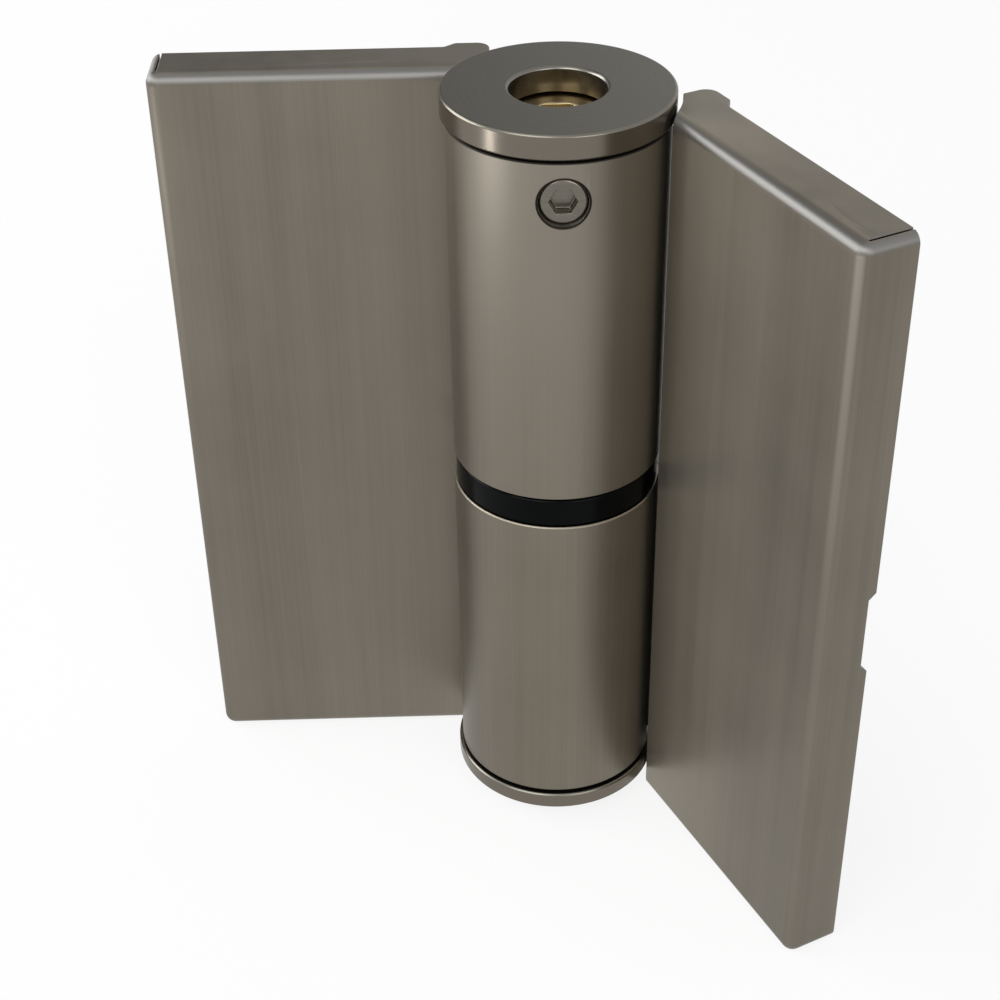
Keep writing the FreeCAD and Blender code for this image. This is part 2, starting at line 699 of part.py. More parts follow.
for item in doc.Objects:
    if "Invalid" in item.State or "Error" in item.State:
        raise RuntimeError(item.Name + " did not recompute")
os.makedirs("parts", exist_ok=True)
for node in NODES:
    shape = node.Shape
    if shape.isNull() or not shape.isValid() or shape.Volume <= 0:
        raise RuntimeError(node.Label + " has no valid solid")
    shape.exportStep("parts/%s.step" % node.Label)
    box = shape.BoundBox
    print("%-18s %9.1f mm3  x %.2f..%.2f  y %.2f..%.2f  z %.2f..%.2f" % (
        node.Label, shape.Volume, box.XMin, box.XMax, box.YMin, box.YMax, box.ZMin, box.ZMax))
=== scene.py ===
import json
import math

import bmesh
import bpy
from mathutils import Matrix, Vector


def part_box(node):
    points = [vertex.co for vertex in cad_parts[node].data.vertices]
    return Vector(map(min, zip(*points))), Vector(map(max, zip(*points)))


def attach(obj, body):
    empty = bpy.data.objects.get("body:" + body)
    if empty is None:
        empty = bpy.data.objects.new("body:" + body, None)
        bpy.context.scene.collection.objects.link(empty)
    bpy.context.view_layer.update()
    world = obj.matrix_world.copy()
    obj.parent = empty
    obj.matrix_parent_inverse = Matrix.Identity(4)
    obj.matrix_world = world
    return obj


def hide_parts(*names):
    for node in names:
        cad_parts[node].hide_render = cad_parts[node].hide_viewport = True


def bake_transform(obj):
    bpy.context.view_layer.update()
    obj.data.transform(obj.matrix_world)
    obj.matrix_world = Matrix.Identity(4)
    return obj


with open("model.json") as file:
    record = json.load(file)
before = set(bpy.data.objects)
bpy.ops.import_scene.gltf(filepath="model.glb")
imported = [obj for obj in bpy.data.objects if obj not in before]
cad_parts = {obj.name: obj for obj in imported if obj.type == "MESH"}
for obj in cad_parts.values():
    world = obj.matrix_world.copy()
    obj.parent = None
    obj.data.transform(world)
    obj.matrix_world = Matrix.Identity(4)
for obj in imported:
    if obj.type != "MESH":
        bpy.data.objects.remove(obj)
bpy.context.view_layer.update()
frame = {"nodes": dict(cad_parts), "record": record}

MM = 0.001
nodes = frame["nodes"]
record = frame["record"]
body_of = {node: body for body, members in record["behaviour"]["bodies"].items() for node in members}
slot_of = {part["node"]: part["material_slot"] for part in record["subparts"]}
joint_of = {joint["name"]: joint for joint in record["behaviour"]["joints"]}


def link(thing):
    bpy.context.scene.collection.objects.link(thing)
    return thing


# Camera at the photograph's place and angle, for a square frame.
CAMERA_YAW = math.radians(0.885)
CAMERA_PITCH = math.radians(-35.08)
CAMERA_ROLL = math.radians(-0.958)
CAMERA_PLACE = Vector((-11.19, -216.61, 200.29)) * MM
SENSOR_WIDTH = 36.0
LENS_TO_SENSOR = 1.9049
CLIP_NEAR = 0.01
CLIP_FAR = 20.0


def place_camera():
    ground = math.cos(CAMERA_PITCH)
    forward = Vector((math.sin(CAMERA_YAW) * ground, math.cos(CAMERA_YAW) * ground, math.sin(CAMERA_PITCH)))
    level = Vector((math.cos(CAMERA_YAW), -math.sin(CAMERA_YAW), 0.0))
    upward = level.cross(forward)
    right = math.cos(CAMERA_ROLL) * level + math.sin(CAMERA_ROLL) * upward
    above = -math.sin(CAMERA_ROLL) * level + math.cos(CAMERA_ROLL) * upward
    lens = bpy.data.cameras.new("photo_camera")
    lens.sensor_width = SENSOR_WIDTH
    lens.lens = LENS_TO_SENSOR * SENSOR_WIDTH
    lens.clip_start = CLIP_NEAR
    lens.clip_end = CLIP_FAR
    camera = link(bpy.data.objects.new("photo_camera", lens))
    turn = Matrix((right, above, -forward)).transposed().to_4x4()
    camera.matrix_world = Matrix.Translation(CAMERA_PLACE) @ turn
    bpy.context.scene.camera = camera


place_camera()
bpy.context.scene.view_settings.view_transform = "Standard"


# Helpers that add one node to a shader or geometry tree.
def put(tree, socket, value):
    """Link another node's output to a socket, or set a plain value on it, a colour as red, green and blue."""
    if hasattr(value, "is_output"):
        tree.links.new(value, socket)
    elif socket.type == "RGBA":
        socket.default_value = (*value, 1.0)
    else:
        socket.default_value = value


def feed(tree, node, **values):
    """Set or link a node's inputs by name, with spaces written as underscores."""
    for label, value in values.items():
        put(tree, node.inputs[label.replace("_", " ")], value)
    return node


def math_node(tree, operation, *values):
    node = tree.nodes.new("ShaderNodeMath")
    node.operation = operation
    for socket, value in zip(node.inputs, values):
        put(tree, socket, value)
    return node.outputs[0]


def plus(tree, first, second):
    return math_node(tree, "ADD", first, second)


def minus(tree, first, second):
    return math_node(tree, "SUBTRACT", first, second)


def times(tree, first, second):
    return math_node(tree, "MULTIPLY", first, second)


def distance(tree, first, second):
    """Length of a flat vector, from its two parts."""
    square = plus(tree, times(tree, first, first), times(tree, second, second))
    return math_node(tree, "SQRT", square)


def vector_node(tree, operation, first, second):
    node = tree.nodes.new("ShaderNodeVectorMath")
    node.operation = operation
    put(tree, node.inputs[0], first)
    put(tree, node.inputs[1], second)
    return node.outputs["Value" if operation == "DOT_PRODUCT" else "Vector"]


def vector_of(tree, x, y, z):
    return feed(tree, tree.nodes.new("ShaderNodeCombineXYZ"), X=x, Y=y, Z=z).outputs[0]


def parts_of(tree, vector):
    node = tree.nodes.new("ShaderNodeSeparateXYZ")
    tree.links.new(vector, node.inputs[0])
    return node.outputs


def ramp(tree, value, start, end, low, high, ease="LINEAR"):
    """Low at start, high at end, held beyond both."""
    node = tree.nodes.new("ShaderNodeMapRange")
    node.interpolation_type = ease
    feed(tree, node, Value=value, From_Min=start, From_Max=end, To_Min=low, To_Max=high)
    return node.outputs["Result"]


def step_down(tree, value, start, end):
    """One at start, nought at end, held beyond both."""
    return ramp(tree, value, start, end, 1.0, 0.0)


def noise(tree, vector, scale, detail, roughness=0.5):
    node = tree.nodes.new("ShaderNodeTexNoise")
    feed(tree, node, Vector=vector, Scale=scale, Detail=detail, Roughness=roughness)
    return node.outputs["Fac"]


def called(sockets, identifier):
    return next(socket for socket in sockets if socket.identifier == identifier)


def mix(tree, factor, first, second, kind="Color", blend="MIX"):
    """Blend two colours, or two values of kind Float, each a socket or written out."""
    node = tree.nodes.new("ShaderNodeMix")
    node.data_type = {"Color": "RGBA", "Float": "FLOAT"}[kind]
    node.blend_type = blend
    put(tree, called(node.inputs, "Factor_Float"), factor)
    put(tree, called(node.inputs, "A_" + kind), first)
    put(tree, called(node.inputs, "B_" + kind), second)
    return called(node.outputs, "Result_" + kind)


# Shader node groups shared by the finishes, read from object coordinates.
FINE_LINES = 3200.0
LONG_RUN = 26.0
FINE_MARKS = 5200.0
BANDS_PER_METRE = (260.0, 260.0, 7.0)
BRUSHED_BLOTCHES = 55.0
TURNED_BLOTCHES = 90.0
UPRIGHT_RISE = 0.25
FLAT_RISE = 0.7


def new_group(name, inputs, outputs):
    """Shader node group of plain values, the inputs with what they usually are."""
    tree = bpy.data.node_groups.new(name, "ShaderNodeTree")
    for label, usual in inputs.items():
        tree.interface.new_socket(label, in_out="INPUT", socket_type="NodeSocketFloat").default_value = usual
    for label in outputs:
        tree.interface.new_socket(label, in_out="OUTPUT", socket_type="NodeSocketFloat")
    return tree, tree.nodes.new("NodeGroupInput"), tree.nodes.new("NodeGroupOutput")


def brushed_group():
    """Upright brushing lines, broad upright bands, slow blotches, and a mask of the upright faces."""
    tree, given, out = new_group(
        "brushed_lines",
        {"Lines per metre": FINE_LINES, "Run per metre": LONG_RUN},
        ("Line", "Band", "Blotch", "Upright"),
    )
    coordinate = tree.nodes.new("ShaderNodeTexCoord")
    place = coordinate.outputs["Object"]
    rise = math_node(tree, "ABSOLUTE", parts_of(tree, coordinate.outputs["Normal"])["Z"])
    lines = given.outputs["Lines per metre"]
    stretch = vector_of(tree, lines, lines, given.outputs["Run per metre"])
    stroke = vector_node(tree, "MULTIPLY", place, stretch)
    band = vector_node(tree, "MULTIPLY", place, BANDS_PER_METRE)
    feed(tree, out,
         Line=noise(tree, stroke, scale=1.0, detail=4.0, roughness=0.62),
         Band=noise(tree, band, scale=1.0, detail=2.0),
         Blotch=noise(tree, place, scale=BRUSHED_BLOTCHES, detail=3.0),
         Upright=step_down(tree, rise, UPRIGHT_RISE, FLAT_RISE))
    return tree


def turned_group():
    """Fine concentric tool marks about the barrel axis, slow blotches, and the radius for masks."""
    tree, given, out = new_group(
        "turned_marks",
        {"Marks per metre": FINE_MARKS},
        ("Mark", "Radius", "Blotch"),
    )
    place = tree.nodes.new("ShaderNodeTexCoord").outputs["Object"]
    x, y, z = parts_of(tree, place)
    radius = distance(tree, x, y)
    marks = given.outputs["Marks per metre"]
    groove = vector_of(tree, times(tree, radius, marks), times(tree, z, marks), 0.0)
    feed(tree, out,
         Mark=noise(tree, groove, scale=1.0, detail=3.0),
         Radius=radius,
         Blotch=noise(tree, place, scale=TURNED_BLOTCHES, detail=3.0))
    return tree


BRUSHED = brushed_group()
TURNED = turned_group()


def placed(tree, group, **values):
    """A shared group placed in a material, with its own values."""
    node = tree.nodes.new("ShaderNodeGroup")
    node.node_tree = group
    return feed(tree, node, **values)


# Ranges, shares and reliefs of the marks in the finishes.
NOISE_LOW = 0.3
NOISE_MIDDLE = 0.5
NOISE_HIGH = 0.7
BRUSHING_SHARE = 0.30
BAND_SHARE = 0.40
BRUSHED_BLOTCH_SHARE = 0.30
MARK_SHARE = 0.6
TURNED_BLOTCH_SHARE = 0.4
SIDEWAYS_SPREAD = 0.8
LINE_STRENGTH = 0.15
LINE_RELIEF = 0.04 * MM
MARK_RELIEF = 0.03 * MM
FLOW_STRENGTH = 0.15
FLOW_RELIEF = 0.05 * MM
UP = (0.0, 0.0, 1.0)
NUDGE = (0.001, 0.0, 0.0)


def spread(tree, value, low, high):
    """Map a noise value, which mostly lies near its middle, to a range."""
    return ramp(tree, value, NOISE_LOW, NOISE_HIGH, low, high)


def bump(tree, height, strength, relief):
    node = tree.nodes.new("ShaderNodeBump")
    return feed(tree, node, Height=height, Strength=strength, Distance=relief).outputs["Normal"]


def across(tree):
    """Level direction in the surface, across the brushing lines, never quite nought."""
    face = tree.nodes.new("ShaderNodeNewGeometry")
    level = vector_node(tree, "CROSS_PRODUCT", face.outputs["Normal"], UP)
    return vector_node(tree, "ADD", level, NUDGE)


def surface(name, metallic):
    material = bpy.data.materials.new(name)
    material.use_nodes = True
    shader = material.node_tree.nodes["Principled BSDF"]
    shader.inputs["Metallic"].default_value = metallic
    return material, material.node_tree, shader


def brushed(name, dark, light, smooth, rough, lines=FINE_LINES, run=LONG_RUN):
    """Metal with upright brushing, plain where it lies flat."""
    material, tree, shader = surface(name, 1.0)
    grain = placed(tree, BRUSHED, Lines_per_metre=lines, Run_per_metre=run)
    away = times(tree, minus(tree, grain.outputs["Line"], NOISE_MIDDLE), grain.outputs["Upright"])
    stroke = plus(tree, away, NOISE_MIDDLE)
    slow = plus(tree, times(tree, grain.outputs["Band"], BAND_SHARE),
                times(tree, grain.outputs["Blotch"], BRUSHED_BLOTCH_SHARE))
    both = plus(tree, times(tree, stroke, BRUSHING_SHARE), slow)
    feed(tree, shader,
         Base_Color=mix(tree, spread(tree, both, 0.0, 1.0), dark, light),
         Roughness=spread(tree, both, smooth, rough),
         Normal=bump(tree, stroke, LINE_STRENGTH, LINE_RELIEF),
         Tangent=across(tree),
         Anisotropic=SIDEWAYS_SPREAD)
    return material


def turned(name, dark, light, smooth, rough, marks=FINE_MARKS, depth=0.2):
    """Metal with concentric tool marks."""
    material, tree, shader = surface(name, 1.0)
    grain = placed(tree, TURNED, Marks_per_metre=marks)
    both = plus(tree, times(tree, grain.outputs["Mark"], MARK_SHARE),
                times(tree, grain.outputs["Blotch"], TURNED_BLOTCH_SHARE))
    feed(tree, shader,
         Base_Color=mix(tree, spread(tree, both, 0.0, 1.0), dark, light),
         Roughness=spread(tree, grain.outputs["Mark"], smooth, rough),
         Normal=bump(tree, grain.outputs["Mark"], depth, MARK_RELIEF))
    return material


def recoloured(material, mask, colour, roughness=None):
    """Lay another colour, and if given another roughness, over a finish where its mask is one."""
    tree = material.node_tree
    shader = tree.nodes["Principled BSDF"]
    under = shader.inputs["Base Color"].links[0].from_socket
    feed(tree, shader, Base_Color=mix(tree, mask, under, colour))
    if roughness is not None:
        under = shader.inputs["Roughness"].links[0].from_socket
        feed(tree, shader, Roughness=mix(tree, mask, under, roughness, kind="Float"))
    return material


def inside_radius(material, radius, soft):
    """Mask of what lies nearer the barrel axis than a radius, with a soft border outside it."""
    marks = placed(material.node_tree, TURNED)
    return step_down(material.node_tree, marks.outputs["Radius"], radius, radius + soft)


# Finishes with a function of their own. A pair of values is where a mask is one and where it is nought.
def cap_finish():
    """Faced top, polished rim, and a bore wall painted lighter as painted light."""
    bore_radius = 6.05 * MM
    soft = 0.10 * MM
    material = turned("cap_faced_steel", dark=(0.170, 0.163, 0.138), light=(0.180, 0.172, 0.147),
                      smooth=0.26, rough=0.32, depth=0.015)
    rim = placed(material.node_tree, BRUSHED).outputs["Upright"]
    recoloured(material, rim, colour=(0.190, 0.168, 0.138), roughness=0.25)
    # Painted light: the bore wall gets a lighter steel colour, standing in for light reaching down into it.
    bore = inside_radius(material, bore_radius, soft)
    return recoloured(material, bore, colour=(0.215, 0.206, 0.188), roughness=0.27)


def tube_finish():
    """Satin tube, with painted light making it lighter towards the top, and painted shade in the seams and
    round the lock screw's hole.
    """
    painted_glow_heights = (90.0 * MM, 45.0 * MM)
    painted_glow_share = 0.6
    hole_shade_inside = (3.10 * MM, 3.04 * MM)
    hole_shade_outside = (3.30 * MM, 3.38 * MM)
    seam_shade_border = (0.22 * MM, 0.34 * MM)
    material = brushed("tube_satin_steel", dark=(0.180, 0.160, 0.126), light=(0.252, 0.226, 0.184),
                       smooth=0.30, rough=0.38)
    tree = material.node_tree
    x, y, z = parts_of(tree, tree.nodes.new("ShaderNodeTexCoord").outputs["Object"])
    # Painted light: the tube is painted lighter towards its top, fading out lower down.
    upper = times(tree, step_down(tree, z, *painted_glow_heights), painted_glow_share)
    recoloured(material, upper, colour=(0.305, 0.276, 0.232))
    # Painted shade: a near-black ring in the mouth of the lock screw's hole, on the front side only.
    screw_low, screw_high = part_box("lock_screw")
    reach = distance(tree, x, minus(tree, z, (screw_low[2] + screw_high[2]) / 2))
    ring = times(tree, step_down(tree, reach, *hole_shade_outside), step_down(tree, reach, *hole_shade_inside))
    mask = times(tree, ring, math_node(tree, "LESS_THAN", y, 0.0))
    # Painted shade: near-black bands in the seams at the outer ends of the two tubes.
    for seam in (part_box("upper_tube")[1][2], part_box("lower_tube")[0][2]):
        away = math_node(tree, "ABSOLUTE", minus(tree, z, seam))
        mask = math_node(tree, "MAXIMUM", mask, step_down(tree, away, *seam_shade_border))
    return recoloured(material, mask, colour=(0.020, 0.018, 0.015), roughness=0.5)


def cover_finish():
    """Satin cover with painted light beside the barrel, a painted highlight on the door's upright bend, and a
    greyer colour on the top bends that tints their lamp highlight.
    """
    painted_light_radius = 15.0 * MM
    painted_light_fade = 23.0 * MM
    painted_light_share_frame = 0.3
    painted_light_share_door = 1.0
    bend_facing = (-0.530, -0.848, 0.0)
    bend_border = (0.995, 0.92)
    bend_heights = (107.0 * MM, 60.0 * MM)
    bend_share_low = 0.15
    fold_from = (0.40, 0.15)
    fold_to = (0.85, 0.97)
    material = brushed("cover_satin_steel", dark=(0.180, 0.163, 0.131), light=(0.268, 0.238, 0.196),
                       smooth=0.38, rough=0.46)
    tree = material.node_tree
    coordinate = tree.nodes.new("ShaderNodeTexCoord")
    normal = coordinate.outputs["Normal"]
    place = parts_of(tree, coordinate.outputs["Object"])
    door = math_node(tree, "GREATER_THAN", place["X"], 0.0)
    # Painted light: brighter beside the barrel, fully on the door cover and partly on the frame cover.
    near_painted_light = inside_radius(material, painted_light_radius, painted_light_fade)
    share = plus(tree, times(tree, door, painted_light_share_door - painted_light_share_frame), painted_light_share_frame)
    recoloured(material, times(tree, near_painted_light, share), colour=(0.345, 0.312, 0.255))
    # Painted highlight: a light strip down the door cover's upright bend, fading towards the bottom.
    bend = step_down(tree, vector_node(tree, "DOT_PRODUCT", normal, bend_facing), *bend_border)
    height = step_down(tree, place["Z"], *bend_heights)
    fade = plus(tree, times(tree, height, 1.0 - bend_share_low), bend_share_low)
    recoloured(material, times(tree, times(tree, bend, door), fade), colour=(0.340, 0.315, 0.270))
    # Painted highlight colour: the top bends are greyer and more neutral so that the lamp highlight on them
    # looks white.
    rise = parts_of(tree, normal)["Z"]
    fold_highlight_tint = times(tree, step_down(tree, rise, *fold_from), step_down(tree, rise, *fold_to))
    return recoloured(material, fold_highlight_tint, colour=(0.190, 0.186, 0.176), roughness=0.46)


def brass_finish():
    """Turned brass with a painted glint: light brass on the walls of the key socket."""
    socket_radius = 3.50 * MM
    soft = 0.10 * MM
    material = turned("adjuster_turned_brass", dark=(0.20, 0.135, 0.050), light=(0.34, 0.245, 0.105),
                      smooth=0.24, rough=0.36)
    # Painted glint: the walls of the key socket are painted a light brass.
    socket = inside_radius(material, socket_radius, soft)
    return recoloured(material, socket, colour=(0.72, 0.60, 0.34), roughness=0.34)


def ring_finish():
    """Black moulded nylon with faint flow marks."""
    flow_marks = 1500.0
    dark = (0.0012, 0.0014, 0.0014)
    light = (0.0024, 0.0027, 0.0028)
    smooth = 0.16
    rough = 0.24
    mirror_level = 0.05
    material, tree, shader = surface("ring_black_nylon", 0.0)
    grain = placed(tree, TURNED, Marks_per_metre=flow_marks)
    feed(tree, shader,
         Base_Color=mix(tree, spread(tree, grain.outputs["Blotch"], 0.0, 1.0), dark, light),
         Roughness=spread(tree, grain.outputs["Mark"], smooth, rough),
         Normal=bump(tree, grain.outputs["Blotch"], FLOW_STRENGTH, FLOW_RELIEF),
         Specular_IOR_Level=mirror_level)
    return material


FINISH = {
    "cover_steel": cover_finish(),
    "tube_steel": tube_finish(),
    "cap_steel": cap_finish(),
    "leaf_steel": brushed("leaf_rolled_steel", dark=(0.21, 0.200, 0.180), light=(0.27, 0.26, 0.235),
                          smooth=0.34, rough=0.5, lines=900.0, run=200.0),
    "weld_steel": turned("weld_ground_steel", dark=(0.12, 0.112, 0.10), light=(0.26, 0.245, 0.22),
                         smooth=0.3, rough=0.5, marks=700.0, depth=0.6),
    "spring_steel": turned("spring_blued_steel", dark=(0.10, 0.10, 0.105), light=(0.16, 0.16, 0.165),
                           smooth=0.28, rough=0.4),
    "plain_steel": turned("plain_machined_steel", dark=(0.20, 0.195, 0.185), light=(0.28, 0.272, 0.26),
                          smooth=0.25, rough=0.38),
    "screw_steel": turned("screw_steel", dark=(0.15, 0.137, 0.115), light=(0.22, 0.203, 0.173),
                          smooth=0.2, rough=0.3),
    "adjuster_brass": brass_finish(),
    "bearing_bronze": turned("bearing_bronze", dark=(0.30, 0.19, 0.08), light=(0.40, 0.27, 0.13),
                             smooth=0.26, rough=0.4),
    "ring_nylon": ring_finish(),
}
for name, node in nodes.items():
    node.data.materials.clear()
    node.data.materials.append(FINISH[slot_of[name]])


# Pieces that stand for CAD nodes, with soft edges.
MERGE_REACH = 0.002 * MM
FLAT_ANGLE = math.radians(0.5)
SHARP_ANGLE = math.radians(28.0)
ROUND_SEGMENTS = 2
FACE_WEIGHT = 60


def bake(thing):
    """Apply the modifiers of a working object and keep a plain mesh object under its name."""
    seen = thing.evaluated_get(bpy.context.evaluated_depsgraph_get())
    mesh = bpy.data.meshes.new_from_object(seen)
    name = thing.name
    source = thing.data
    bpy.data.objects.remove(thing)
    bpy.data.meshes.remove(source)
    mesh.name = name
    return link(bpy.data.objects.new(name, mesh))


def dress(piece, node):
    """Finish of the CAD node's material slot and the node's body, for a piece that stands for it, with the
    CAD node hidden.
    """
    piece.data.materials.clear()
    piece.data.materials.append(FINISH[slot_of[node]])
    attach(piece, body_of[node])
    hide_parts(node)


def soft_edged(node, name, width):
    """Copy of a CAD solid with its sharp edges broken by a small round."""
    mesh = nodes[node].data.copy()
    if "custom_normal" in mesh.attributes:
        mesh.attributes.remove(mesh.attributes["custom_normal"])
    work = bmesh.new()
    work.from_mesh(mesh)
    bmesh.ops.remove_doubles(work, verts=work.verts, dist=MERGE_REACH)
    bmesh.ops.dissolve_limit(work, angle_limit=FLAT_ANGLE, verts=work.verts, edges=work.edges)
    for face in work.faces:
        face.smooth = True
    work.to_mesh(mesh)
    work.free()
    thing = link(bpy.data.objects.new(name, mesh))
    soften = thing.modifiers.new("soften", "BEVEL")
    soften.width = width
    soften.segments = ROUND_SEGMENTS
    soften.limit_method = "ANGLE"
    soften.angle_limit = SHARP_ANGLE
    soften.use_clamp_overlap = False
    weigh = thing.modifiers.new("weigh", "WEIGHTED_NORMAL")
    weigh.weight = FACE_WEIGHT
    dress(bake(thing), node)


# CAD node, name of its piece, and width of the round in millimetres.
SOFT_EDGED = [
    ("frame_cover", "frame_cover_shell", 0.12),
    ("door_cover", "door_cover_shell", 0.12),
    ("upper_tube", "upper_barrel", 0.06),
    ("lower_tube", "lower_barrel", 0.06),
    ("top_cap", "ring_cap", 0.10),
    ("bottom_cap", "foot_cap", 0.10),
    ("bearing_ring", "black_ring", 0.10),
    ("lock_screw", "lock_grub_screw", 0.14),
    ("spring_adjuster", "brass_adjuster", 0.10),
    ("bottom_screw", "foot_screw", 0.08),
    ("frame_leaf", "frame_plate", 0.20),
    ("door_leaf", "door_plate", 0.20),
    ("frame_clip_upper", "frame_spring_strip_upper", 0.12),
    ("frame_clip_lower", "frame_spring_strip_lower", 0.12),
    ("door_clip_upper", "door_spring_strip_upper", 0.12),
    ("door_clip_lower", "door_spring_strip_lower", 0.12),
]
for node, name, width in SOFT_EDGED:
    soft_edged(node, name, width * MM)


# Geometry trees for the rivets and the closing spring.
CREASE_ANGLE = math.radians(40.0)
QUARTER_TURN = math.radians(90.0)
RIVET_SIDES = 32
DOME_RINGS = 16
COIL_STEPS = 48
WIRE_SIDES = 16
ELBOW_RINGS = 8


def geometry_tree(name, inputs):
    """Tree with named inputs, each given with its kind, and a material."""
    tree = bpy.data.node_groups.new(name, "GeometryNodeTree")
    tree.is_modifier = True
    tree.interface.new_socket("Geometry", in_out="OUTPUT", socket_type="NodeSocketGeometry")
    for label, kind in {**inputs, "Material": "Material"}.items():
        tree.interface.new_socket(label, in_out="INPUT", socket_type="NodeSocket" + kind)
    return tree, tree.nodes.new("NodeGroupInput"), tree.nodes.new("NodeGroupOutput")


def shape(tree, kind, **values):
    """Output of a geometry node with its inputs set by name."""
    return feed(tree, tree.nodes.new("GeometryNode" + kind), **values).outputs[0]


def joined(tree, *parts):
    node = tree.nodes.new("GeometryNodeJoinGeometry")
    for part in parts:
        tree.links.new(part, node.inputs[0])
    return node.outputs[0]


def close_tree(tree, out, geometry, material):
    """Make the geometry real and give it its material."""
    real = shape(tree, "RealizeInstances", Geometry=geometry)
    tree.links.new(shape(tree, "SetMaterial", Geometry=real, Material=material), out.inputs[0])


def grown(name, tree, values):
    """Plain mesh object grown by a geometry tree, with its inputs set by name."""
    thing = link(bpy.data.objects.new(name, bpy.data.meshes.new(name)))
    grow = thing.modifiers.new("grow", "NODES")
    grow.node_group = tree
    for item in tree.interface.items_tree:
        if item.in_out == "INPUT":
            grow[item.identifier] = values[item.name]
    piece = bake(thing)
    piece.data.shade_smooth()
    piece.data.set_sharp_from_angle(angle=CREASE_ANGLE)
    return piece


def rivet_tree():
    """Domed rivets in two pairs up the leaf, the heads towards -Y."""
    tree, given, out = geometry_tree("rivet_rows", {
        "First": "Vector", "Pair spacing": "Float", "Clip spacing": "Float", "Head radius": "Float",
        "Head height": "Float", "Shank radius": "Float", "Shank length": "Float",
    })
    size = given.outputs
    dome = shape(tree, "MeshUVSphere", Segments=RIVET_SIDES, Rings=DOME_RINGS, Radius=size["Head radius"])
    flatness = math_node(tree, "DIVIDE", size["Head height"], size["Head radius"])
    head = shape(tree, "Transform", Geometry=dome, Scale=vector_of(tree, 1.0, flatness, 1.0))
    stem = shape(tree, "MeshCylinder", Vertices=RIVET_SIDES, Radius=size["Shank radius"],
                 Depth=size["Shank length"])
    half = times(tree, size["Shank length"], 0.5)
    shank = shape(tree, "Transform", Geometry=stem, Translation=vector_of(tree, 0.0, half, 0.0),
                  Rotation=(QUARTER_TURN, 0.0, 0.0))
    pair = shape(tree, "MeshLine", Count=2, Offset=vector_of(tree, 0.0, 0.0, size["Pair spacing"]))
    clips = shape(tree, "MeshLine", Count=2, Start_Location=size["First"],
                  Offset=vector_of(tree, 0.0, 0.0, size["Clip spacing"]))
    pairs = shape(tree, "InstanceOnPoints", Points=clips, Instance=pair)
    places = shape(tree, "RealizeInstances", Geometry=pairs)
    rivets = shape(tree, "InstanceOnPoints", Points=places, Instance=joined(tree, head, shank))
    close_tree(tree, out, rivets, size["Material"])
    return tree


def spring_tree():
    """Half of a round wire coil about Z, rising from an upright tang."""
    tree, given, out = geometry_tree("half_coil_with_tang", {
        "Base": "Float", "Height": "Float", "Turns": "Float", "Coil radius": "Float", "Wire radius": "Float",
        "Tang": "Float",
    })
    size = given.outputs
    radius = size["Coil radius"]
    coil = shape(tree, "CurveSpiral", Resolution=COIL_STEPS, Rotations=size["Turns"], Start_Radius=radius,
                 End_Radius=radius, Height=size["Height"], Reverse=True)
    raised = shape(tree, "Transform", Geometry=coil, Translation=vector_of(tree, 0.0, 0.0, size["Base"]))
    corner = vector_of(tree, radius, 0.0, size["Base"])
    foot = vector_of(tree, radius, 0.0, minus(tree, size["Base"], size["Tang"]))
    tang = shape(tree, "CurvePrimitiveLine", Start=foot, End=corner)
    section = shape(tree, "CurvePrimitiveCircle", Resolution=WIRE_SIDES, Radius=size["Wire radius"])
    wire = shape(tree, "CurveToMesh", Curve=joined(tree, raised, tang), Profile_Curve=section, Fill_Caps=True)
    ball = shape(tree, "MeshUVSphere", Segments=WIRE_SIDES, Rings=ELBOW_RINGS, Radius=size["Wire radius"])
    elbow = shape(tree, "Transform", Geometry=ball, Translation=corner)
    close_tree(tree, out, joined(tree, wire, elbow), size["Material"])
    return tree


# Clip rivets, made beside the axis from the frame side's rivet group and moved to each side.
# At rest the door side is short of flat by the upper limit of its swing.
DOOR_ANGLE = math.radians(joint_of["door_swing"]["range_deg"][1])
ONTO_SIDE = {
    "frame": Matrix.Scale(-1.0, 4, (1.0, 0.0, 0.0)),
    "door": Matrix.Rotation(-DOOR_ANGLE, 4, "Z"),
}
rivet_low, rivet_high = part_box("frame_rivets")
HEAD_RADIUS = (rivet_high[0] - rivet_low[0]) / 2
HEAD_HEIGHT = 0.9 * MM
SHANK_RADIUS = 1.25 * MM
CLIP_SPACING = 32.0 * MM
RIVET_SPAN = rivet_high[2] - rivet_low[2] - 2 * HEAD_RADIUS
RIVET_OUT = -(rivet_low[0] + rivet_high[0]) / 2
RIVETS = rivet_tree()
for side, move in ONTO_SIDE.items():
    piece = grown(side + "_clip_rivets", RIVETS, {
        "First": (RIVET_OUT, rivet_low[1] + HEAD_HEIGHT, rivet_low[2] + HEAD_RADIUS),
        "Pair spacing": RIVET_SPAN - CLIP_SPACING,
        "Clip spacing": CLIP_SPACING,
        "Head radius": HEAD_RADIUS,
        "Head height": HEAD_HEIGHT,
        "Shank radius": SHANK_RADIUS,
        "Shank length": rivet_high[1] - rivet_low[1] - HEAD_HEIGHT,
        "Material": FINISH[slot_of["frame_rivets"]],
    })
    piece.data.transform(move)
    if move.is_negative:
        piece.data.flip_normals()
    dress(piece, side + "_rivets")

